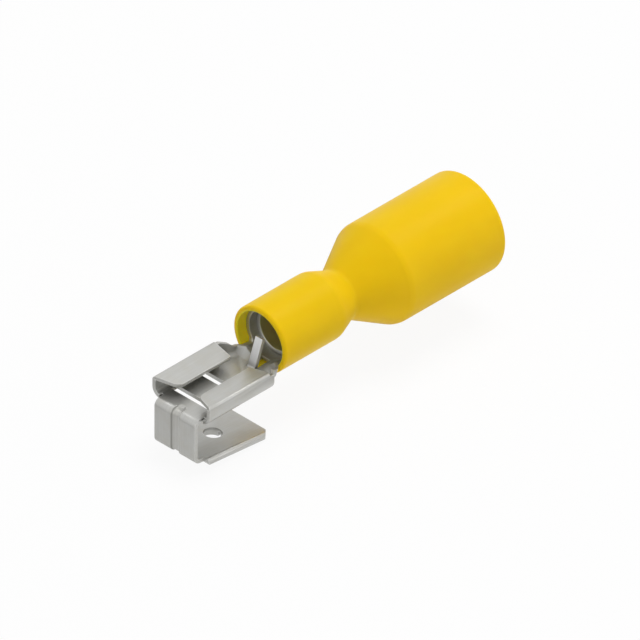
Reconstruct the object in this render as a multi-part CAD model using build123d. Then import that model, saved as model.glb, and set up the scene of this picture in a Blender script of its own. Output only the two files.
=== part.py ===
from build123d import *
import os
from math import cos, radians, sin, tan

# Quick disconnect terminal of the stacking kind, in millimetres.
# One strip of tinned brass is folded into a receptacle for a flat tab, a link with a hemmed tab
# of its own below, a neck with a lanced wire stop, and a crimp barrel.  A seamless liner stands
# in the barrel, and a moulded sleeve covers both and flares out over the wire's insulation.
# The origin is the centre of the receptacle's mouth, on the middle plane of the tab it takes.
# +X runs to the wire end, +Z is up, and the terminal's own tab lies below.

# Strip that the contact is folded from
sheet = 0.4

# Flat tab that the receptacle takes
mate_width = 6.35
mate_thickness = 0.8

# Receptacle
side_play = 0.125
flap_play = 0.08
receptacle_length = 8.3
curl_radius = 1.0
brow_radius = 0.3
flap_gap = 2.4
flap_slope = 10
flap_sweep = 1.05
flap_nose_radius = 1.0
flap_length = 7.8
flap_skew = 0.2
flap_corner_radius = 0.1

# Cross slots in the base
slot_width = 0.75
slot_span = 5.5
first_slot = 1.49
slot_pitch = 3.41

# Link between the receptacle's base and the tab below it
link_width = 5.2
link_reach = 0.84
link_drop = 4.74
link_bend_radius = 0.72
relief_width = 0.2
relief_depth = 0.35

# Stiffening bead down the link
bead_width = 1.04
bead_floor = 0.74
bead_depth = 0.15

# Tab of the terminal itself, with both long edges hemmed under
tab_width = 6.35
tab_length = 7.95
tab_start = 0.42
tab_tilt = 5.7
tab_corner = 0.67
tab_bevel = 0.12
tab_hole = 1.8
tab_hole_setback = 4.3
hem_seam = 0.3
hem_setback = 0.35

# Neck and crimp barrel
barrel_bore = 4.9
barrel_front = 11.2
barrel_length = 6.3
barrel_seam = 0.12
trough_front = 10.15
trough_split = 35
waist_place = 9.45
waist_width = 5.62
waist_corner = 0.95
waist_steps = 3
neck_drop = 0.5
neck_drop_place = 9.3
neck_drop_radius = 0.5
trough_drop = 0.62
lip_radius = 0.35

# Wire stop lanced from the neck's floor
stop_place = 9.0
stop_width = 0.9
stop_length = 3.2
stop_lean = 20
stop_bend_radius = 0.3
stop_window = 2.2
stop_shear = 0.05

# Liner in the barrel
liner_play = 0.03
liner_wall = 0.42
liner_setback = 0.9
liner_chamfer = 0.06

# Insulating sleeve
sleeve_play = 0.03
sleeve_overlap = 1.15
sleeve_grip_wall = 0.52
sleeve_grip_length = 7.67
sleeve_waist_diameter = 4.92
sleeve_waist_place = 10.08
sleeve_bell_diameter = 10.12
sleeve_bell_place = 14.72
sleeve_length = 26.8
sleeve_throat_play = 0.05
sleeve_wall = 0.8
sleeve_front_rounding = 0.3
sleeve_rear_rounding = 0.5
sleeve_grip_rounding = 1.7
sleeve_waist_rounding = 2.3
sleeve_bell_rounding = 1.5
sleeve_funnel_rounding = 2
sleeve_throat_rounding = 1
sleeve_chamfer = 0.12

# Levels and half widths that follow
floor_top = -mate_thickness / 2
floor_bottom = floor_top - sheet
mouth_half = mate_width / 2 + side_play + sheet
flap_edge = flap_gap / 2
flap_edge_top = mate_thickness / 2 + flap_play + sheet
brow_top = flap_edge_top + (mouth_half - flap_edge) * tan(radians(flap_slope))
shoulder = brow_top - brow_radius * tan(radians(90 + flap_slope) / 2)
link_bottom = floor_top - link_drop
barrel_axis = floor_top + barrel_bore / 2
barrel_rear = barrel_front + barrel_length
barrel_outer = barrel_bore / 2 + sheet
liner_bore = barrel_bore / 2 - liner_play - liner_wall

# How far cutters reach past the metal, and how far joined solids run into each other
clear = 5
overlap = 0.05


def strip(*corners, radii):
    """Face of a bent strip: the corners are its outer side, and the sheet lies to their left."""
    outer = FilletPolyline(*corners, radius=radii)
    return make_face(offset(outer, sheet, side=Side.LEFT))


def receptacle():
    """Base, curled walls and flaps, trimmed to the flaps' plan."""
    half = strip(
        (0, floor_bottom),
        (mouth_half, floor_bottom),
        (mouth_half, brow_top),
        (flap_edge, flap_edge_top),
        radii=[curl_radius, brow_radius],
    )
    channel = extrude(Plane.YZ * (half + mirror(half, Plane.YZ)), receptacle_length)
    flap = make_face(
        FilletPolyline(
            (0, mouth_half),
            (flap_sweep, flap_edge),
            (flap_length - flap_skew, flap_edge),
            (flap_length, mouth_half),
            (flap_length, mouth_half + clear),
            (0, mouth_half + clear),
            radius=[0, flap_nose_radius, flap_corner_radius, 0, 0, 0],
            close=True,
        )
    )
    flaps = extrude(flap + mirror(flap, Plane.XZ), clear)
    length = receptacle_length + clear
    over = Align.CENTER, Align.CENTER, Align.MIN
    above_walls = Pos(0, 0, shoulder) * Box(2 * length, 2 * clear, clear, align=over)
    above_mate = Pos(0, 0, mate_thickness / 2) * Box(
        2 * length, 2 * (mouth_half - sheet), clear, align=over
    )
    return channel - (above_walls + above_mate - flaps)


def slots_and_reliefs():
    """Cutters for the two cross slots in the base and the reliefs beside the link."""
    depth = 2 * sheet
    cutters = []
    for place in (first_slot, first_slot + slot_pitch):
        cutters.append(Pos(place + slot_width / 2, 0, floor_bottom) * Box(slot_width, slot_span, depth))
    middle = (link_width + relief_width) / 2
    for side in (-middle, middle):
        cutters.append(Pos(0, side, floor_bottom) * Box(2 * relief_depth, relief_width, 2 * curl_radius))
    return cutters


def link():
    """Strip from the base round the front and down to the tab, and the cutter for its bead."""
    corners = [
        (relief_depth, floor_top),
        (-link_reach, floor_top),
        (-link_reach, link_bottom),
        (tab_start, link_bottom - tab_fall(tab_start)),
    ]
    radii = [link_bend_radius, link_bend_radius]
    body = extrude(Plane.XZ * strip(*corners, radii=radii), link_width / 2, both=True)
    outer = Plane.XZ * FilletPolyline(*corners, radius=radii)
    bends = Wire(outer.edges()[1:-1])
    return body + bead(bends, sheet), bead(bends, 0)


def tab_fall(place):
    """How far the tab's plane has dropped at a place along it."""
    return (place + link_reach) * tan(radians(tab_tilt))


def bead(path, level):
    """Bead along the path, as a solid on the strip's outer side (level 0) or its inner side."""
    section = make_face(
        Polyline(
            (-bead_width / 2, level - overlap),
            (bead_width / 2, level - overlap),
            (bead_width / 2, level),
            (bead_floor / 2, level + bead_depth),
            (-bead_floor / 2, level + bead_depth),
            (-bead_width / 2, level),
            close=True,
        )
    )
    start = Plane(origin=path @ 0, x_dir=(0, 1, 0), z_dir=path % 0)
    end = Plane(origin=path @ 1, x_dir=(0, 1, 0), z_dir=path % 1)
    half = split(section, Plane.YZ)
    dome = revolve(half, Axis.Y)
    return sweep(start * section, path=path) + start * dome + end * dome


def hemmed_tab():
    """Flat tab with round hemmed edges, cut to its plan, in its own tilted plane."""
    across = SlotOverall(tab_width, 2 * sheet)
    blank = extrude(Plane.YZ * across, tab_length)
    plan = make_face(
        Polyline(
            (0, -tab_width / 2),
            (tab_length - tab_corner, -tab_width / 2),
            (tab_length, -tab_width / 2 + tab_corner),
            (tab_length, tab_width / 2 - tab_corner),
            (tab_length - tab_corner, tab_width / 2),
            (0, tab_width / 2),
            close=True,
        )
    )
    tab = blank & extrude(plan, clear, both=True)
    tip = tab.faces().sort_by(Axis.X)[-1]
    tab = chamfer(tip.edges().filter_by(Axis.Y), tab_bevel)
    tab -= Pos(tab_length - tab_hole_setback, 0, 0) * Cylinder(tab_hole / 2, clear)
    tab -= Box(2 * clear + tab_length, hem_seam, sheet, align=(Align.CENTER, Align.CENTER, Align.MAX))
    hem_end = make_face(
        Polyline(
            (0, 0),
            (2 * hem_setback, -2 * sheet),
            (-sheet, -2 * sheet),
            (-sheet, 0),
            close=True,
        )
    )
    tab -= extrude(Plane.XZ * hem_end, clear, both=True)
    seat = Plane(
        origin=(tab_start, 0, link_bottom - tab_fall(tab_start)),
        x_dir=(cos(radians(tab_tilt)), 0, -sin(radians(tab_tilt))),
        z_dir=(sin(radians(tab_tilt)), 0, cos(radians(tab_tilt))),
    )
    return seat * tab


def trough(place, half_width, corner, inset):
    """Section of the neck at a place along it: a flat-bottomed trough, closed by a lid on top."""
    low = floor_bottom + inset
    half = half_width - inset
    bend = corner - inset
    flat = half - bend
    top = barrel_axis + clear / 2
    floor = Line((-flat, low), (flat, low))
    turn = RadiusArc((flat, low), (half, low + bend), -bend)
    side = Line((half, low + bend), (half, top))
    lid = Line((half, top), (-half, top))
    return section_face(place, floor, turn, side, lid)


def narrowing(share):
    """Place, half width and corner of the neck, from the receptacle (share 0) to its waist (share 1)."""
    eased = share * (2 - share)
    return (
        receptacle_length + share * (waist_place - receptacle_length),
        mouth_half + eased * (waist_width / 2 - mouth_half),
        curl_radius + eased * (waist_corner - curl_radius),
    )


def barrel_trough(place, inset):
    """Section where the neck has become the barrel's own circle, split as the trough is."""
    radius = barrel_outer - inset
    top = barrel_axis + clear / 2

    def on_circle(angle):
        return radius * sin(radians(angle)), barrel_axis - radius * cos(radians(angle))

    floor = ThreePointArc(on_circle(-trough_split), on_circle(0), on_circle(trough_split))
    turn = ThreePointArc(on_circle(trough_split), on_circle((trough_split + 90) / 2), on_circle(90))
    side = Line(on_circle(90), (radius, top))
    lid = Line((radius, top), (-radius, top))
    return section_face(place, floor, turn, side, lid)


def section_face(place, floor, turn, side, lid):
    """Face across the neck, from one half's edges mirrored."""
    other_side, other_turn = (mirror(edge, Plane.YZ).edge() for edge in (side, turn))
    outline = Wire([floor, turn, side, lid, other_side, other_turn])
    return Plane.YZ.offset(place) * Face(outline)


def neck_and_barrel():
    """Trough that narrows from the receptacle and closes into the crimp barrel."""
    skins = []
    for inset in (0, sheet):
        sections = [trough(*narrowing(step / waist_steps), inset) for step in range(waist_steps + 1)]
        skins.append(loft(sections + [barrel_trough(trough_front, inset)], ruled=True))
    tube = Cylinder(barrel_outer, barrel_rear - trough_front) - Cylinder(
        barrel_bore / 2, barrel_rear - trough_front
    )
    tube = Pos((trough_front + barrel_rear) / 2, 0, barrel_axis) * Rot(0, 90, 0) * tube
    over = make_face(
        FilletPolyline(
            (receptacle_length, shoulder),
            (neck_drop_place - neck_drop, shoulder),
            (neck_drop_place, shoulder - neck_drop),
            (barrel_front, shoulder - trough_drop),
            (barrel_front, barrel_axis + clear),
            (receptacle_length, barrel_axis + clear),
            radius=[0, neck_drop_radius, neck_drop_radius, lip_radius, 0, 0],
            close=True,
        )
    )
    rear = skins[0] - skins[1] + tube
    rear -= extrude(Plane.XZ * over, clear, both=True)
    seam = Pos((barrel_front + barrel_rear) / 2, 0, barrel_axis + barrel_bore / 2)
    return rear - seam * Box(barrel_length + clear, barrel_seam, 2 * sheet)


def wire_stop():
    """Tongue lanced from the floor, and the cutter for the window it leaves behind it."""
    lean = radians(stop_lean)
    half_turn = tan((radians(90) - lean) / 2)
    heel = stop_place + sheet * half_turn
    root = heel - (stop_bend_radius + sheet) * half_turn - overlap
    side = strip(
        (root, floor_bottom),
        (heel, floor_bottom),
        (heel + stop_length * sin(lean), floor_bottom + stop_length * cos(lean)),
        radii=stop_bend_radius + sheet,
    )
    tongue = extrude(Plane.XZ * side, stop_width / 2, both=True)
    window = Pos(root, 0, floor_bottom) * Box(
        stop_window,
        stop_width + 2 * stop_shear,
        4 * sheet,
        align=(Align.MIN, Align.CENTER, Align.CENTER),
    )
    return tongue, window


def contact():
    """The whole folded strip as one solid."""
    strap, groove = link()
    tongue, window = wire_stop()
    body = receptacle() + neck_and_barrel() + strap + hemmed_tab()
    body -= slots_and_reliefs()
    return body - groove - window + tongue


def liner():
    """Seamless tube in the barrel, chamfered where the wire's end meets it and at its rear."""
    outer = barrel_bore / 2 - liner_play
    length = barrel_length - liner_setback
    tube = Cylinder(outer, length) - Cylinder(liner_bore, length)
    rims = tube.edges().filter_by(GeomType.CIRCLE).group_by(SortBy.RADIUS)[0]
    tube = chamfer(rims, liner_chamfer)
    return Pos(barrel_rear - length / 2, 0, barrel_axis) * Rot(0, 90, 0) * tube


def sleeve():
    """Turned section of the moulded sleeve: grip over the barrel, waist and flared bell."""
    bore = barrel_outer + sleeve_play
    grip = bore + sleeve_grip_wall
    waist = sleeve_waist_diameter / 2
    bell = sleeve_bell_diameter / 2
    throat = liner_bore + sleeve_throat_play
    stop = sleeve_overlap + barrel_length
    section = make_face(
        FilletPolyline(
            (0, bore + sleeve_chamfer),
            (0, grip),
            (sleeve_grip_length, grip),
            (sleeve_waist_place, waist),
            (sleeve_bell_place, bell),
            (sleeve_length, bell),
            (sleeve_length, bell - sleeve_wall + sleeve_chamfer),
            (sleeve_length - sleeve_chamfer, bell - sleeve_wall),
            (sleeve_bell_place, bell - sleeve_wall),
            (sleeve_waist_place, throat),
            (stop + sleeve_chamfer, throat),
            (stop, throat + sleeve_chamfer),
            (stop, bore),
            (sleeve_chamfer, bore),
            radius=[
                0,
                sleeve_front_rounding,
                sleeve_grip_rounding,
                sleeve_waist_rounding,
                sleeve_bell_rounding,
                sleeve_rear_rounding,
                0,
                0,
                sleeve_funnel_rounding,
                sleeve_throat_rounding,
                0,
                0,
                0,
                0,
            ],
            close=True,
        )
    )
    body = revolve(section, Axis.X)
    return Pos(barrel_front - sleeve_overlap, 0, barrel_axis) * body


if __name__ == "__main__":
    os.makedirs("parts", exist_ok=True)
    nodes = {"contact": contact(), "barrel_liner": liner(), "insulating_sleeve": sleeve()}
    for name, node in nodes.items():
        print(name, node.volume, node.is_valid, len(node.solids()), node.bounding_box())
        export_step(node, f"parts/{name}.step")
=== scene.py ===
import math

import bmesh
import bpy
from bpy.props import FloatProperty, FloatVectorProperty, IntProperty, PointerProperty
from bpy.types import Operator, Panel, PropertyGroup
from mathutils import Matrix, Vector


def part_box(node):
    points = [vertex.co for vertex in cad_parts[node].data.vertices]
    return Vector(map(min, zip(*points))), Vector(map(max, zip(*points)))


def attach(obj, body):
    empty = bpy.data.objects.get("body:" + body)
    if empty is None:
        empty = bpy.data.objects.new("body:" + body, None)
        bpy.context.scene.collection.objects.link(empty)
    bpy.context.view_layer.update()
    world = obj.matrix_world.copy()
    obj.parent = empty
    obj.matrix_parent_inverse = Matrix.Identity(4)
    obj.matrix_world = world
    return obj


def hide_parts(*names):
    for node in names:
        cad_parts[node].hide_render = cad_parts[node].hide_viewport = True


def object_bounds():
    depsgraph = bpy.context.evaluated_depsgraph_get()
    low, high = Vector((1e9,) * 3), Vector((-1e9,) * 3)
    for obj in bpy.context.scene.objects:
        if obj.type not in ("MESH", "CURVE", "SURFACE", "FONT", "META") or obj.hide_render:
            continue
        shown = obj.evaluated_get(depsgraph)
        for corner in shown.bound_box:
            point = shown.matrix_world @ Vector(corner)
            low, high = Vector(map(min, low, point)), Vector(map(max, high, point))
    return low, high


bl_info = {
    "name": "Stacking Disconnect Terminal",
    "version": (1, 0, 0),
    "blender": (4, 5, 0),
    "location": "View3D > Sidebar > Terminal",
    "description": "Dresses the packed quick disconnect terminal with tin plate, liner and moulded sleeve",
    "category": "Object",
}

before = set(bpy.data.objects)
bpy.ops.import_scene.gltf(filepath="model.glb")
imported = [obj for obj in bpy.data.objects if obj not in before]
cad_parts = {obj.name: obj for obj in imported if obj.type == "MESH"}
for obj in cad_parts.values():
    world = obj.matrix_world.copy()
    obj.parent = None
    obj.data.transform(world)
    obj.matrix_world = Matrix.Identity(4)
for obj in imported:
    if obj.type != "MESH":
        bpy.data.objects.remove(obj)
CAD_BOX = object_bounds()
MM = 0.001
SLEEVE_LOW, SLEEVE_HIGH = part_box("insulating_sleeve")
LINER_LOW, LINER_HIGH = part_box("barrel_liner")
BARREL_HEIGHT = (SLEEVE_LOW.z + SLEEVE_HIGH.z) / 2

# Features of each pattern in a metre along the terminal, across it and up
FLAT_GRAIN = (300, 7000, 300)
WALL_GRAIN = (300, 300, 7000)
TIN_CLOUDS = (700, 900, 900)
TIN_SPECKS = (16000, 16000, 16000)
SLEEVE_CLOUDS = (220, 400, 400)
SPARK_TEXTURE = (9000, 9000, 9000)

# How much the patterns and the press change the roughness, and how high the patterns stand
TIN_CLOUD_DULLNESS = 0.10
TIN_GRAIN_DULLNESS = 0.08
DRAWN_DULLNESS = 0.20
SLEEVE_CLOUD_DULLNESS = 0.06
TIN_GRAIN_HEIGHT = 0.6
TIN_SPECK_HEIGHT = 0.4
RELIEF_DEPTH = 0.01 * MM

# Where the contact's finish changes: folds and edges by reach, the rest by place; painted shade lies in
# folds and on the bead's shaded side, painted highlights on edges, the bead's other side and the wire stop
FOLD_REACH = 0.35 * MM
EDGE_REACH = 0.12 * MM
# The bead's two lines: painted shade on one side, painted highlight on the other.
BEAD_SHADED_SIDE = 0.46 * MM
BEAD_HIGHLIGHT_SIDE = -0.41 * MM
BEAD_LINE_HALF = 0.12 * MM
BEAD_SHADE = 0.85
LINK_DEPTH = 0.5 * MM
# Where the wire stop gets painted light
STOP_PLACE = (9.0 * MM, 10.6 * MM)
STOP_SIDES = (-0.45 * MM, 0.45 * MM)
STOP_FOOT = (-0.3 * MM, 0.3 * MM)
STOP_SOFTNESS = 0.1 * MM
NECK_PLACE = (8.6 * MM, 10.2 * MM)
NECK_SOFTNESS = 0.5 * MM

# Where the liner bore's tint and the painted light in the sleeve's bore end: radii, and depths from the
# sleeve's front
LINER_BORE_FADE = (2.005 * MM, 2.03 * MM)
SLEEVE_BORE_FADE = (2.9 * MM, 3.1 * MM)
SLEEVE_BORE_DEPTH = (6.5 * MM, 7.0 * MM)

# How light spreads in the sleeve's wall, as shares of its depth in red, green and blue
YELLOW_SPREAD = (1.0, 0.75, 0.06)

# Merging and rounding of the strip's mesh
MERGE_REACH = 0.02 * MM
TIGHT_REACH = 0.06 * MM
FLAT_ANGLE = math.radians(0.5)
CRISP_ANGLE = math.radians(32)
FOLDED_ANGLE = math.radians(130)
ROUNDING_TRIES = 3

# The neck's drawn walls, whose normals stay as they are
DRAWN_WALLS = (7.9 * MM, 12 * MM)
DRAWN_FLOOR_HALF = 0.62 * MM

# Turning and shading
TURNED_ROUNDING_STEPS = 8
TOUCHING = 1e-7
SHARP_ANGLE = math.radians(58)

# The studio, in metres: its floor, and the patches that reflections find on it
STUDIO_DISTANCE = 0.5
FLOOR_HALF = 0.6
FLOOR_GAP = 0.02 * MM
FLOOR_GREY = (0.88, 0.88, 0.88, 1)
FLOOR_WHITE_SHARE = 0.92
LEFT_PATCH = (-6 * MM, 6 * MM)
RIGHT_PATCH = (8 * MM, -8 * MM)
PATCH_FADE = (4 * MM, 25 * MM)
RING_MIDDLE = (4 * MM, 0)
RING_INNER_FADE = (14 * MM, 24 * MM)
RING_OUTER_FADE = (40 * MM, 60 * MM)
VIEW_DIRECTION = (1, 1, -1)
VIEW_CLIP = (0.01, 5)


class Signal:
    """A socket that carries a number over the surface, with Python's own arithmetic."""

    def __init__(self, finish, socket):
        self.finish = finish
        self.socket = socket

    def math(self, operation, *values):
        """Result of a Math node on the values given."""
        return self.finish.node("ShaderNodeMath", {"operation": operation}, dict(enumerate(values)))

    def __add__(self, other):
        return self.math("ADD", self, other)

    def __radd__(self, other):
        return self.math("ADD", other, self)

    def __sub__(self, other):
        return self.math("SUBTRACT", self, other)

    def __rsub__(self, other):
        return self.math("SUBTRACT", other, self)

    def __mul__(self, other):
        return self.math("MULTIPLY", self, other)

    def __rmul__(self, other):
        return self.math("MULTIPLY", other, self)

    def __abs__(self):
        return self.math("ABSOLUTE", self)

    def __or__(self, other):
        return self.math("MAXIMUM", self, other)

    def ramp(self, low, high):
        """0 below low, 1 above high, smooth between."""
        return self.finish.node(
            "ShaderNodeMapRange",
            {"interpolation_type": "SMOOTHSTEP", "clamp": True},
            {"Value": self, "From Min": low, "From Max": high},
        )


class Finish:
    """The node tree of one material or world."""

    def __init__(self, owner):
        self.owner = owner
        owner.use_nodes = True
        self.tree = owner.node_tree
        self.tree.nodes.clear()

    def node(self, kind, settings=None, inputs=None, output=0):
        """Makes a node, applies its settings, then sets or links its inputs."""
        made = self.tree.nodes.new(kind)
        for name, value in (settings or {}).items():
            setattr(made, name, value)
        for name, value in (inputs or {}).items():
            if isinstance(value, Signal):
                self.tree.links.new(value.socket, made.inputs[name])
            else:
                made.inputs[name].default_value = value
        return Signal(self, made.outputs[output]) if made.outputs else None

    def shade(self, surface, output="ShaderNodeOutputMaterial"):
        """Ends the tree in its output and hands back the material or world."""
        self.node(output, inputs={"Surface": surface})
        return self.owner

    def here(self):
        """The surface's own coordinates, which are the terminal's."""
        return self.node("ShaderNodeTexCoord", output="Object")

    def axis(self, number):
        """Place along the terminal (0), across it (1) or up (2)."""
        return self.node("ShaderNodeSeparateXYZ", inputs={"Vector": self.here()}, output=number)

    def noise(self, features, detail=2.0):
        """Even noise between 0 and 1, with that many features in a metre along each axis."""
        place = self.node("ShaderNodeMapping", inputs={"Vector": self.here(), "Scale": features})
        return self.node("ShaderNodeTexNoise", inputs={"Vector": place, "Scale": 1.0, "Detail": detail})

    def blend(self, amount, one, other):
        """Colour one where amount is 0, the other where it is 1."""
        first, second = (c if isinstance(c, Signal) else (*c, 1) for c in (one, other))
        colour_sockets = {"Factor": amount, 6: first, 7: second}
        return self.node("ShaderNodeMix", {"data_type": "RGBA"}, colour_sockets, output=2)

    def openness(self, reach, inside=False):
        """1 on open surfaces, falling to 0 in folds narrower than reach, or with inside at sharp edges."""
        settings = {"samples": 8, "only_local": True, "inside": inside}
        return self.node("ShaderNodeAmbientOcclusion", settings, {"Distance": reach}, output=1)

    def sideways(self):
        """1 where the surface faces across the terminal, 0 where it faces along it or up."""
        facing = self.node("ShaderNodeNewGeometry", output="Normal")
        return abs(self.node("ShaderNodeSeparateXYZ", inputs={"Vector": facing}, output=1))

    def span(self, place, start, stop, soft):
        """1 between two places, falling to 0 over a soft distance outside them."""
        return place.ramp(start - soft, start) * (1.0 - place.ramp(stop, stop + soft))

    def near(self, point, inner, outer):
        """1 within an inner distance of a point, falling to 0 at an outer one."""
        ends = {0: self.here(), 1: point}
        away = self.node("ShaderNodeVectorMath", {"operation": "DISTANCE"}, ends, output=1)
        return 1.0 - away.ramp(inner, outer)

    def near_axis(self, inner, outer):
        """1 within an inner distance of the barrel's axis, falling to 0 at an outer one."""
        from_axis = self.node(
            "ShaderNodeMapping",
            inputs={"Vector": self.here(), "Location": (0, 0, -BARREL_HEIGHT), "Scale": (0, 1, 1)},
        )
        away = self.node("ShaderNodeVectorMath", {"operation": "LENGTH"}, {0: from_axis}, output=1)
        return 1.0 - away.ramp(inner, outer)

    def bead_line(self, middle):
        """1 along a thin line down the link's front at one place across it, 0 elsewhere."""
        line = self.span(self.axis(1), middle, middle, BEAD_LINE_HALF)
        return line * (1.0 - self.axis(0).ramp(0, LINK_DEPTH))

    def wire_stop(self):
        """1 on the wire stop that stands up in the barrel's mouth, 0 elsewhere."""
        along = self.span(self.axis(0), *STOP_PLACE, STOP_SOFTNESS)
        across = self.span(self.axis(1), *STOP_SIDES, STOP_SOFTNESS)
        return along * across * self.axis(2).ramp(*STOP_FOOT)

    def drawn_neck(self):
        """1 where the press drew the neck, 0 elsewhere."""
        return self.span(self.axis(0), *NECK_PLACE, NECK_SOFTNESS)

    def ray(self, kind):
        """1 for rays of one kind, 0 for the others."""
        return self.node("ShaderNodeLightPath", output=kind)

    def seen_rays(self):
        """1 for the rays that find the white background: the camera's, reflected and refracted ones."""
        return self.ray("Is Camera Ray") | self.ray("Is Glossy Ray") | self.ray("Is Transmission Ray")


def tin_plate(name, look, details):
    """Satin tin over brass: rolling grain, faint clouds, painted shade in folds, painted highlight with
    wear on edges, then details.
    """
    finish = Finish(bpy.data.materials.new(name))
    on_walls = finish.sideways().ramp(0.6, 0.8)
    flat_grain = finish.noise(FLAT_GRAIN, detail=3.0)
    wall_grain = finish.noise(WALL_GRAIN, detail=3.0)
    grain = flat_grain * (1.0 - on_walls) + wall_grain * on_walls
    clouds = finish.noise(TIN_CLOUDS)
    specks = finish.noise(TIN_SPECKS, detail=1.0)
    # Painted shade: the plate turns to the shade colour in folds and seams narrower than the fold reach.
    open_places = finish.openness(FOLD_REACH).ramp(0.35, 0.95)
    # Painted highlight with wear: sharp cut edges turn towards the worn colour.
    edges = 1.0 - finish.openness(EDGE_REACH, inside=True).ramp(0.6, 0.95)
    tint = finish.blend(clouds.ramp(0.35, 0.65), look.tin_cool, look.tin_warm)
    tint = finish.blend(look.tin_streaks * grain.ramp(0.4, 0.7), tint, look.tin_worn_and_highlight)
    tint = finish.blend(open_places, look.tin_painted_shade, tint)
    tint = finish.blend(look.tin_edge_wear_and_highlight * edges, tint, look.tin_worn_and_highlight)
    for mask, colour in details(finish, look):
        tint = finish.blend(mask, tint, colour)
    by_clouds = TIN_CLOUD_DULLNESS * (clouds - 0.5)
    by_grain = TIN_GRAIN_DULLNESS * (grain - 0.5)
    by_press = DRAWN_DULLNESS * finish.drawn_neck()
    height = TIN_GRAIN_HEIGHT * grain + TIN_SPECK_HEIGHT * specks
    relief = {"Strength": look.tin_relief, "Distance": RELIEF_DEPTH, "Height": height}
    return finish.shade(
        finish.node(
            "ShaderNodeBsdfPrincipled",
            inputs={
                "Base Color": tint,
                "Metallic": look.tin_metallic,
                "Roughness": look.tin_roughness + by_clouds + by_grain + by_press,
                "Normal": finish.node("ShaderNodeBump", inputs=relief),
            },
        )
    )


def contact_details(finish, look):
    """Painted shade on the bead's shaded side, painted highlight on its other side, and painted light on
    the wire stop.
    """
    yield BEAD_SHADE * finish.bead_line(BEAD_SHADED_SIDE), look.tin_painted_shade
    yield finish.bead_line(BEAD_HIGHLIGHT_SIDE), look.tin_worn_and_highlight
    yield finish.wire_stop(), look.tin_painted_light


def liner_details(finish, look):
    """The liner's bore, in a yellowish tint that is lighter than the plate."""
    yield finish.near_axis(*LINER_BORE_FADE), look.liner_bore


def moulded_plastic(name, look):
    """Satin moulded polymer: milky, with faint flow clouds, a fine spark texture and painted light in the
    front of the bore.
    """
    finish = Finish(bpy.data.materials.new(name))
    clouds = finish.noise(SLEEVE_CLOUDS)
    shallow, deep = (SLEEVE_LOW.x + depth for depth in SLEEVE_BORE_DEPTH)
    # Painted light in the front of the sleeve's bore, round the barrel.
    front_bore = finish.near_axis(*SLEEVE_BORE_FADE) * (1.0 - finish.axis(0).ramp(shallow, deep))
    tint = finish.blend(clouds.ramp(0.3, 0.7), look.yellow, look.yellow_deep)
    tint = finish.blend(front_bore, tint, look.yellow_painted_light)
    texture = finish.noise(SPARK_TEXTURE)
    relief = {"Strength": look.plastic_relief, "Distance": RELIEF_DEPTH, "Height": texture}
    return finish.shade(
        finish.node(
            "ShaderNodeBsdfPrincipled",
            inputs={
                "Base Color": tint,
                "Roughness": look.plastic_roughness + SLEEVE_CLOUD_DULLNESS * (clouds - 0.5),
                "Specular IOR Level": look.plastic_gloss,
                "Subsurface Weight": look.plastic_milk,
                "Subsurface Radius": YELLOW_SPREAD,
                "Subsurface Scale": look.plastic_depth,
                "Normal": finish.node("ShaderNodeBump", inputs=relief),
            },
        )
    )


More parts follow.
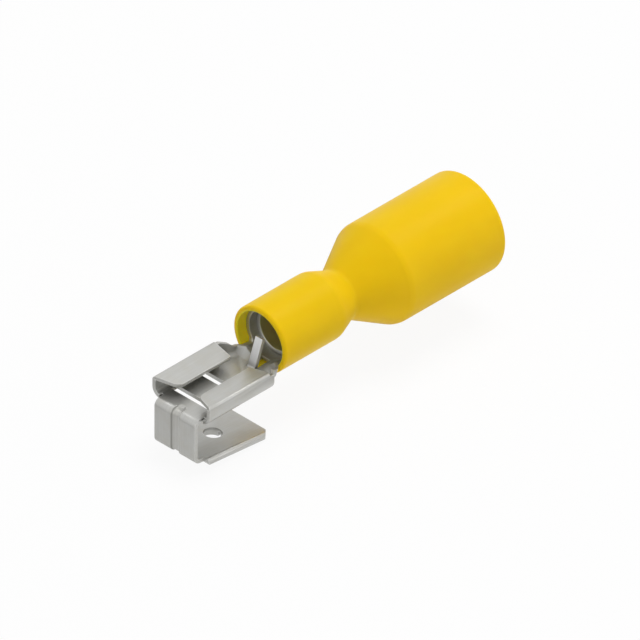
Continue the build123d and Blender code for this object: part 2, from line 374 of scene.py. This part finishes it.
class TerminalLook(PropertyGroup):
    """Colours and finishes that a user would change."""

    tin_cool: FloatVectorProperty(
        name="Tin, cool", description="Colour of the tin plate",
        subtype="COLOR", default=(0.485, 0.485, 0.465),
    )
    tin_warm: FloatVectorProperty(
        name="Tin, warm", description="Tin plate where it is warmer",
        subtype="COLOR", default=(0.475, 0.47, 0.44),
    )
    # Painted shade: the colour laid in folds and seams and on the bead's shaded side.
    tin_painted_shade: FloatVectorProperty(
        name="Tin, folds", description="Tin plate deep in folds and seams",
        subtype="COLOR", default=(0.22, 0.22, 0.20),
    )
    # Worn colour of the grain's streaks and rubbed edges, also a painted highlight on the sheet's edges
    # and the bead's other side.
    tin_worn_and_highlight: FloatVectorProperty(
        name="Tin, worn", description="Tin plate on rubbed edges",
        subtype="COLOR", default=(0.72, 0.72, 0.70),
    )
    # Painted light: the lighter tin laid on the wire stop.
    tin_painted_light: FloatVectorProperty(
        name="Tin, rubbed", description="Wire stop, polished by the die",
        subtype="COLOR", default=(0.80, 0.80, 0.80),
    )
    liner_bore: FloatVectorProperty(
        name="Liner, bore", description="Colour of the liner's bore",
        subtype="COLOR", default=(0.68, 0.69, 0.38),
    )
    tin_streaks: FloatProperty(
        name="Tin, streaks", description="Strength of the rolling grain",
        subtype="FACTOR", default=0.12, min=0, max=1,
    )
    # Share of the worn colour, with painted highlight, that the sheet's edges show.
    tin_edge_wear_and_highlight: FloatProperty(
        name="Tin, edge wear", description="How much of the worn colour the sheet's edges show",
        subtype="FACTOR", default=0.5, min=0, max=1,
    )
    tin_metallic: FloatProperty(
        name="Tin, metallic", description="How metallic the plate is",
        subtype="FACTOR", default=0.75, min=0, max=1,
    )
    tin_roughness: FloatProperty(
        name="Tin, roughness", description="How dull the plate is",
        subtype="FACTOR", default=0.36, min=0, max=1,
    )
    tin_relief: FloatProperty(
        name="Tin, relief", description="Strength of the grain's relief",
        subtype="FACTOR", default=0.12, min=0, max=1,
    )
    yellow: FloatVectorProperty(
        name="Yellow", description="Colour of the sleeve",
        subtype="COLOR", default=(0.88, 0.57, 0.004),
    )
    yellow_deep: FloatVectorProperty(
        name="Yellow, deep", description="Sleeve where it is deeper",
        subtype="COLOR", default=(0.86, 0.55, 0.003),
    )
    # Painted light: the brighter yellow laid in the sleeve's bore in front of and round the barrel.
    yellow_painted_light: FloatVectorProperty(
        name="Yellow, inside", description="Sleeve's bore in front of and round the barrel",
        subtype="COLOR", default=(0.99, 0.80, 0.03),
    )
    plastic_milk: FloatProperty(
        name="Plastic, milkiness", description="How much light enters the sleeve's wall",
        subtype="FACTOR", default=0.40, min=0, max=1,
    )
    plastic_depth: FloatProperty(
        name="Plastic, depth", description="How far light gets in the sleeve's wall",
        unit="LENGTH", default=0.9 * MM,
    )
    plastic_roughness: FloatProperty(
        name="Plastic, roughness", description="How dull the sleeve is",
        subtype="FACTOR", default=0.42, min=0, max=1,
    )
    plastic_gloss: FloatProperty(
        name="Plastic, gloss", description="How strongly the sleeve shines",
        subtype="FACTOR", default=0.12, min=0, max=1,
    )
    plastic_relief: FloatProperty(
        name="Plastic, relief", description="Strength of the sleeve's moulded texture",
        subtype="FACTOR", default=0.10, min=0, max=1,
    )


class TerminalSizes(PropertyGroup):
    """Sizes of the shapes that the scene makes itself; places are taken from the sleeve's front."""

    edge_round: FloatProperty(
        name="Edge rounding", description="Rounding of the sheet's cut edges",
        unit="LENGTH", default=0.04 * MM,
    )
    grip: FloatProperty(
        name="Grip", description="Radius of the sleeve over the barrel",
        unit="LENGTH", default=3.40 * MM,
    )
    grip_end: FloatProperty(
        name="Grip's end", description="Where the grip stops",
        unit="LENGTH", default=7.67 * MM,
    )
    grip_round: FloatProperty(
        name="Grip's rounding", description="Rounding where the grip stops",
        unit="LENGTH", default=1.7 * MM,
    )
    waist: FloatProperty(
        name="Waist", description="Least radius of the sleeve, before its rounding",
        unit="LENGTH", default=2.46 * MM,
    )
    waist_place: FloatProperty(
        name="Waist's place", description="Place of the waist",
        unit="LENGTH", default=10.08 * MM,
    )
    waist_round: FloatProperty(
        name="Waist's rounding", description="Rounding in the waist's crease",
        unit="LENGTH", default=0.6 * MM,
    )
    bell_place: FloatProperty(
        name="Bell's place", description="Where the bell begins",
        unit="LENGTH", default=14.72 * MM,
    )
    shoulder_round: FloatProperty(
        name="Shoulder's rounding", description="Rounding where the bell begins",
        unit="LENGTH", default=1.5 * MM,
    )
    wall: FloatProperty(
        name="Wall", description="Wall of the bell",
        unit="LENGTH", default=0.80 * MM,
    )
    front_round: FloatProperty(
        name="Front rounding", description="Rounding of the sleeve's front edge",
        unit="LENGTH", default=0.3 * MM,
    )
    rear_round: FloatProperty(
        name="Rear rounding", description="Rounding of the bell's outer edge",
        unit="LENGTH", default=0.5 * MM,
    )
    entry_round: FloatProperty(
        name="Entry's rounding", description="Rounding of the bell's inner edge",
        unit="LENGTH", default=0.2 * MM,
    )
    funnel_round: FloatProperty(
        name="Funnel's rounding", description="Rounding where the funnel starts inside the bell",
        unit="LENGTH", default=2.0 * MM,
    )
    throat: FloatProperty(
        name="Throat", description="Radius of the throat behind the barrel",
        unit="LENGTH", default=2.05 * MM,
    )
    throat_round: FloatProperty(
        name="Throat's rounding", description="Rounding where the funnel meets the throat",
        unit="LENGTH", default=1.0 * MM,
    )
    bore: FloatProperty(
        name="Bore", description="Radius of the bore that holds the barrel",
        unit="LENGTH", default=2.88 * MM,
    )
    bore_end: FloatProperty(
        name="Bore's end", description="Depth of the bore that holds the barrel",
        unit="LENGTH", default=7.45 * MM,
    )
    liner_bore: FloatProperty(
        name="Liner's bore", description="Radius of the liner's bore",
        unit="LENGTH", default=2.00 * MM,
    )
    rim_round: FloatProperty(
        name="Rim rounding", description="Rounding of the liner's rims and the bore's ends",
        unit="LENGTH", default=0.12 * MM,
    )
    turning_steps: IntProperty(
        name="Turning steps", description="Faces round a turned piece", default=144, min=24,
    )


class TerminalStage(PropertyGroup):
    """The camera's view and the studio's light."""

    view_width: FloatProperty(
        name="View width", description="Width of the camera's view",
        unit="LENGTH", default=58.08 * MM,
    )
    aim: FloatVectorProperty(
        name="Aim", description="Point in the middle of the view",
        unit="LENGTH", default=(16.19 * MM, -1.65 * MM, 2.05 * MM),
    )
    key_level: FloatProperty(
        name="Key", description="Light of the large lamp on a surface that faces it", default=0.62, min=0,
    )
    side_level: FloatProperty(
        name="Side", description="Light of the lamp on the right", default=0.05, min=0,
    )
    front_level: FloatProperty(
        name="Front", description="Light of the lamp that looks into the sleeve", default=0.08, min=0,
    )
    back_strip_level: FloatProperty(
        name="Back strip", description="Lamp behind, which only reflections show", default=0.036, min=0,
    )
    right_strip_level: FloatProperty(
        name="Right strip", description="Lamp at the wire end, which only reflections show",
        default=0.108, min=0,
    )
    room_level: FloatProperty(
        name="Room", description="Even light from all round", default=0.42, min=0,
    )
    left_shade: FloatProperty(
        name="Left shade", description="How much darker the floor at the left is in reflections",
        subtype="FACTOR", default=0.20, min=0, max=1,
    )
    right_glow: FloatProperty(
        name="Right glow", description="How much brighter the floor at the right is in reflections",
        subtype="FACTOR", default=0.12, min=0, max=1,
    )
    ring_shade: FloatProperty(
        name="Ring shade", description="How much darker the floor round the terminal is in reflections",
        subtype="FACTOR", default=0.45, min=0, max=1,
    )


def piece_from(bm, name, material):
    """Turns a finished bmesh into a named object with its material."""
    mesh = bpy.data.meshes.new(name)
    bm.to_mesh(mesh)
    bm.free()
    mesh.materials.append(material)
    piece = bpy.data.objects.new(name, mesh)
    bpy.context.scene.collection.objects.link(piece)
    return piece


def even_shading(piece):
    """Smooth shading with normals weighted by face area, so flat faces stay flat and only bends turn."""
    piece.data.shade_smooth()
    piece.data.set_sharp_from_angle(angle=SHARP_ANGLE)
    weighted = piece.modifiers.new("even_shading", "WEIGHTED_NORMAL")
    weighted.mode = "FACE_AREA"
    weighted.keep_sharp = True
    return weighted


def turned(profile, steps):
    """Closed shape turned about the barrel's axis, from corners given as place, radius and rounding."""
    bm = bmesh.new()
    corners = [bm.verts.new((place, 0, BARREL_HEIGHT + radius)) for place, radius, _ in profile]
    for corner, following in zip(corners, corners[1:] + corners[:1]):
        bm.edges.new((corner, following))
    for corner, (_, _, rounding) in zip(corners, profile):
        one, other = (edge.other_vert(corner).co - corner.co for edge in corner.link_edges)
        cut_back = rounding * math.tan((math.pi - one.angle(other)) / 2)
        bmesh.ops.bevel(
            bm, geom=[corner], offset=cut_back, offset_type="OFFSET", affect="VERTICES",
            segments=TURNED_ROUNDING_STEPS, profile=0.5, material=-1,
        )
    bmesh.ops.spin(
        bm, geom=bm.verts[:] + bm.edges[:], cent=(0, 0, BARREL_HEIGHT), axis=(1, 0, 0),
        angle=2 * math.pi, steps=steps, use_merge=True,
    )
    bmesh.ops.remove_doubles(bm, verts=bm.verts, dist=TOUCHING)
    bmesh.ops.recalc_face_normals(bm, faces=bm.faces)
    return bm


def rounded_once(source, width, tight):
    """Merged copy of the CAD strip with its bends and cut edges rounded, except near tight places."""
    bm = bmesh.new()
    bm.from_mesh(source)
    bmesh.ops.remove_doubles(bm, verts=bm.verts, dist=MERGE_REACH)
    bmesh.ops.dissolve_degenerate(bm, dist=MERGE_REACH, edges=bm.edges)
    bmesh.ops.dissolve_limit(bm, angle_limit=FLAT_ANGLE, verts=bm.verts, edges=bm.edges)
    crisp = [
        edge for edge in bm.edges
        if edge.calc_face_angle(0) > CRISP_ANGLE
        and not any((corner.co - place).length < TIGHT_REACH for corner in edge.verts for place in tight)
    ]
    bmesh.ops.bevel(
        bm, geom=crisp, offset=width, offset_type="OFFSET", affect="EDGES",
        segments=2, profile=0.5, material=-1, clamp_overlap=False,
    )
    return bm


def rounded_strip(source, width):
    """The strip rounded again and again, each time without the corners whose rounding folded over."""
    tight = []
    for _ in range(ROUNDING_TRIES - 1):
        trial = rounded_once(source, width, tight)
        folded = [edge for edge in trial.edges if edge.calc_face_angle(0) > FOLDED_ANGLE]
        tight += [corner.co.copy() for edge in folded for corner in edge.verts]
        trial.free()
    return rounded_once(source, width, tight)


class TERMINAL_OT_contact(Operator):
    """Folded contact: the CAD strip, merged, its cut edges rounded, in satin tin plate"""

    bl_idname = "terminal.contact"
    bl_label = "Contact"

    def execute(self, context):
        sizes, look = context.scene.terminal_sizes, context.scene.terminal_look
        piece = piece_from(
            rounded_strip(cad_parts["contact"].data, sizes.edge_round),
            "tin_plated_contact",
            tin_plate("tin_plate", look, contact_details),
        )
        front, rear = DRAWN_WALLS
        drawn = [
            corner.index for corner in piece.data.vertices
            if front < corner.co.x < rear and abs(corner.co.y) > DRAWN_FLOOR_HALF
        ]
        piece.vertex_groups.new(name="neck").add(drawn, 1, "REPLACE")
        weighted = even_shading(piece)
        weighted.vertex_group = "neck"
        weighted.invert_vertex_group = True
        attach(piece, "root")
        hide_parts("contact")
        return {"FINISHED"}


class TERMINAL_OT_liner(Operator):
    """Seamless liner in the crimp barrel, its rims rolled smooth"""

    bl_idname = "terminal.liner"
    bl_label = "Barrel liner"

    def execute(self, context):
        sizes, look = context.scene.terminal_sizes, context.scene.terminal_look
        outer = (LINER_HIGH.z - LINER_LOW.z) / 2
        profile = [
            (LINER_LOW.x, outer, sizes.rim_round),
            (LINER_HIGH.x, outer, sizes.rim_round),
            (LINER_HIGH.x, sizes.liner_bore, sizes.rim_round),
            (LINER_LOW.x, sizes.liner_bore, sizes.rim_round),
        ]
        piece = piece_from(
            turned(profile, sizes.turning_steps),
            "liner_tube",
            tin_plate("liner_tin", look, liner_details),
        )
        even_shading(piece)
        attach(piece, "root")
        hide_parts("barrel_liner")
        return {"FINISHED"}


class TERMINAL_OT_sleeve(Operator):
    """Moulded sleeve: grip over the barrel, waist, cone and flared bell for the wire"""

    bl_idname = "terminal.sleeve"
    bl_label = "Insulating sleeve"

    def execute(self, context):
        sizes, look = context.scene.terminal_sizes, context.scene.terminal_look
        front, rear = SLEEVE_LOW.x, SLEEVE_HIGH.x
        bell = (SLEEVE_HIGH.z - SLEEVE_LOW.z) / 2
        profile = [
            (front, sizes.bore, sizes.rim_round),
            (front, sizes.grip, sizes.front_round),
            (front + sizes.grip_end, sizes.grip, sizes.grip_round),
            (front + sizes.waist_place, sizes.waist, sizes.waist_round),
            (front + sizes.bell_place, bell, sizes.shoulder_round),
            (rear, bell, sizes.rear_round),
            (rear, bell - sizes.wall, sizes.entry_round),
            (front + sizes.bell_place, bell - sizes.wall, sizes.funnel_round),
            (front + sizes.waist_place, sizes.throat, sizes.throat_round),
            (front + sizes.bore_end, sizes.throat, sizes.rim_round),
            (front + sizes.bore_end, sizes.bore, sizes.rim_round),
        ]
        piece = piece_from(
            turned(profile, sizes.turning_steps),
            "yellow_sleeve",
            moulded_plastic("sleeve_yellow", look),
        )
        even_shading(piece)
        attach(piece, "root")
        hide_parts("insulating_sleeve")
        return {"FINISHED"}


class TERMINAL_OT_stage(Operator):
    """Pale floor, soft studio light and the camera at the photograph's angle"""

    bl_idname = "terminal.stage"
    bl_label = "Stage"

    def execute(self, context):
        scene, stage = context.scene, context.scene.terminal_stage
        scene.view_settings.view_transform = "Standard"
        self.room(scene, stage)
        self.floor(stage)
        lamps = (
            # name, way to it from the terminal, its size in metres, its level, the rays that miss it
            ("key_lamp", (0.25, -0.05, 0.95), 0.28, stage.key_level, "glossy"),
            ("side_lamp", (0.45, -0.85, 0.40), 0.16, stage.side_level, None),
            ("front_lamp", (-0.90, -0.25, 0.35), 0.30, stage.front_level, None),
            ("back_strip", (0.00, 1.00, 1.50), 0.12, stage.back_strip_level, "diffuse"),
            ("right_strip", (1.00, -0.15, 1.45), 0.14, stage.right_strip_level, "diffuse"),
        )
        for lamp in lamps:
            self.lamp(scene, stage, *lamp)
        self.camera(scene, stage)
        return {"FINISHED"}

    def room(self, scene, stage):
        """Even light all round, which the camera and reflections see as plain white."""
        air = Finish(bpy.data.worlds.new("studio"))
        white = (1, 1, 1, 1)
        ambient = air.node("ShaderNodeBackground", inputs={"Color": white, "Strength": stage.room_level})
        seen = air.node("ShaderNodeBackground", inputs={"Color": white, "Strength": 1.0})
        pick = air.node("ShaderNodeMixShader", inputs={0: air.seen_rays(), 1: ambient, 2: seen})
        scene.world = air.shade(pick, "ShaderNodeOutputWorld")

    def floor(self, stage):
        """Pale floor just under the terminal, white to the camera and see-through from below."""
        level = CAD_BOX[0].z - FLOOR_GAP
        bm = bmesh.new()
        bmesh.ops.create_grid(bm, x_segments=1, y_segments=1, size=FLOOR_HALF)
        bmesh.ops.translate(bm, verts=bm.verts, vec=(stage.aim[0], stage.aim[1], level))
        finish = Finish(bpy.data.materials.new("pale_floor"))
        left = finish.near((*LEFT_PATCH, level), *PATCH_FADE)
        right = finish.near((*RIGHT_PATCH, level), *PATCH_FADE)
        middle = (*RING_MIDDLE, level)
        ring = finish.near(middle, *RING_OUTER_FADE) * (1.0 - finish.near(middle, *RING_INNER_FADE))
        change = stage.right_glow * right - stage.left_shade * left - stage.ring_shade * ring
        brightness = 1.0 + change * (1.0 - finish.ray("Is Camera Ray"))
        # Half way from black to a white of 2 is plain white, and the right patch goes past it
        colour = finish.blend(0.5 * brightness, (0, 0, 0), (2, 2, 2))
        glow = finish.node("ShaderNodeEmission", inputs={"Color": colour, "Strength": 1.0})
        lit = finish.node("ShaderNodeBsdfDiffuse", inputs={"Color": FLOOR_GREY})
        seen = FLOOR_WHITE_SHARE * finish.seen_rays()
        pale = finish.node("ShaderNodeMixShader", inputs={0: seen, 1: lit, 2: glow})
        behind = finish.node("ShaderNodeNewGeometry", output="Backfacing")
        gone = finish.node("ShaderNodeBsdfTransparent")
        both = finish.node("ShaderNodeMixShader", inputs={0: behind, 1: pale, 2: gone})
        piece_from(bm, "floor", finish.shade(both))

    def lamp(self, scene, stage, name, way, size, level, missed_by):
        """Square soft lamp whose level is the brightness it gives a white surface that faces it."""
        light = bpy.data.lights.new(name, "AREA")
        light.shape = "SQUARE"
        light.size = size
        light.energy = level * math.pi**2 * STUDIO_DISTANCE**2
        lamp = bpy.data.objects.new(name, light)
        way = Vector(way).normalized()
        lamp.location = Vector(stage.aim) + way * STUDIO_DISTANCE
        lamp.rotation_euler = (-way).to_track_quat("-Z", "Y").to_euler()
        lamp.visible_glossy = missed_by != "glossy"
        lamp.visible_diffuse = missed_by != "diffuse"
        scene.collection.objects.link(lamp)

    def camera(self, scene, stage):
        """Parallel view from in front, above and to the right, equal to all three axes."""
        data = bpy.data.cameras.new("camera")
        data.type = "ORTHO"
        data.ortho_scale = stage.view_width
        data.clip_start, data.clip_end = VIEW_CLIP
        camera = bpy.data.objects.new("camera", data)
        along = Vector(VIEW_DIRECTION).normalized()
        camera.location = Vector(stage.aim) - along * STUDIO_DISTANCE
        camera.rotation_euler = along.to_track_quat("-Z", "Y").to_euler()
        scene.collection.objects.link(camera)
        scene.camera = camera


class TERMINAL_PT_panel(Panel):
    """Lists the terminal's pieces and their looks in the sidebar"""

    bl_idname = "TERMINAL_PT_panel"
    bl_label = "Terminal"
    bl_space_type = "VIEW_3D"
    bl_region_type = "UI"
    bl_category = "Terminal"

    def draw(self, context):
        for group_name in GROUPS:
            group = getattr(context.scene, group_name)
            box = self.layout.box()
            for name in group.__annotations__:
                box.prop(group, name)
        for operator in OPERATORS:
            self.layout.operator(operator.bl_idname)


GROUPS = {"terminal_look": TerminalLook, "terminal_sizes": TerminalSizes, "terminal_stage": TerminalStage}
OPERATORS = (TERMINAL_OT_contact, TERMINAL_OT_liner, TERMINAL_OT_sleeve, TERMINAL_OT_stage)


def register():
    for name, group in GROUPS.items():
        bpy.utils.register_class(group)
        setattr(bpy.types.Scene, name, PointerProperty(type=group))
    for operator in OPERATORS:
        bpy.utils.register_class(operator)
    bpy.utils.register_class(TERMINAL_PT_panel)


def unregister():
    bpy.utils.unregister_class(TERMINAL_PT_panel)
    for operator in reversed(OPERATORS):
        bpy.utils.unregister_class(operator)
    for name, group in reversed(GROUPS.items()):
        delattr(bpy.types.Scene, name)
        bpy.utils.unregister_class(group)


def main():
    register()
    bpy.ops.terminal.contact()
    bpy.ops.terminal.liner()
    bpy.ops.terminal.sleeve()
    bpy.ops.terminal.stage()
    bpy.context.view_layer.update()


if __name__ == "__main__":
    main()
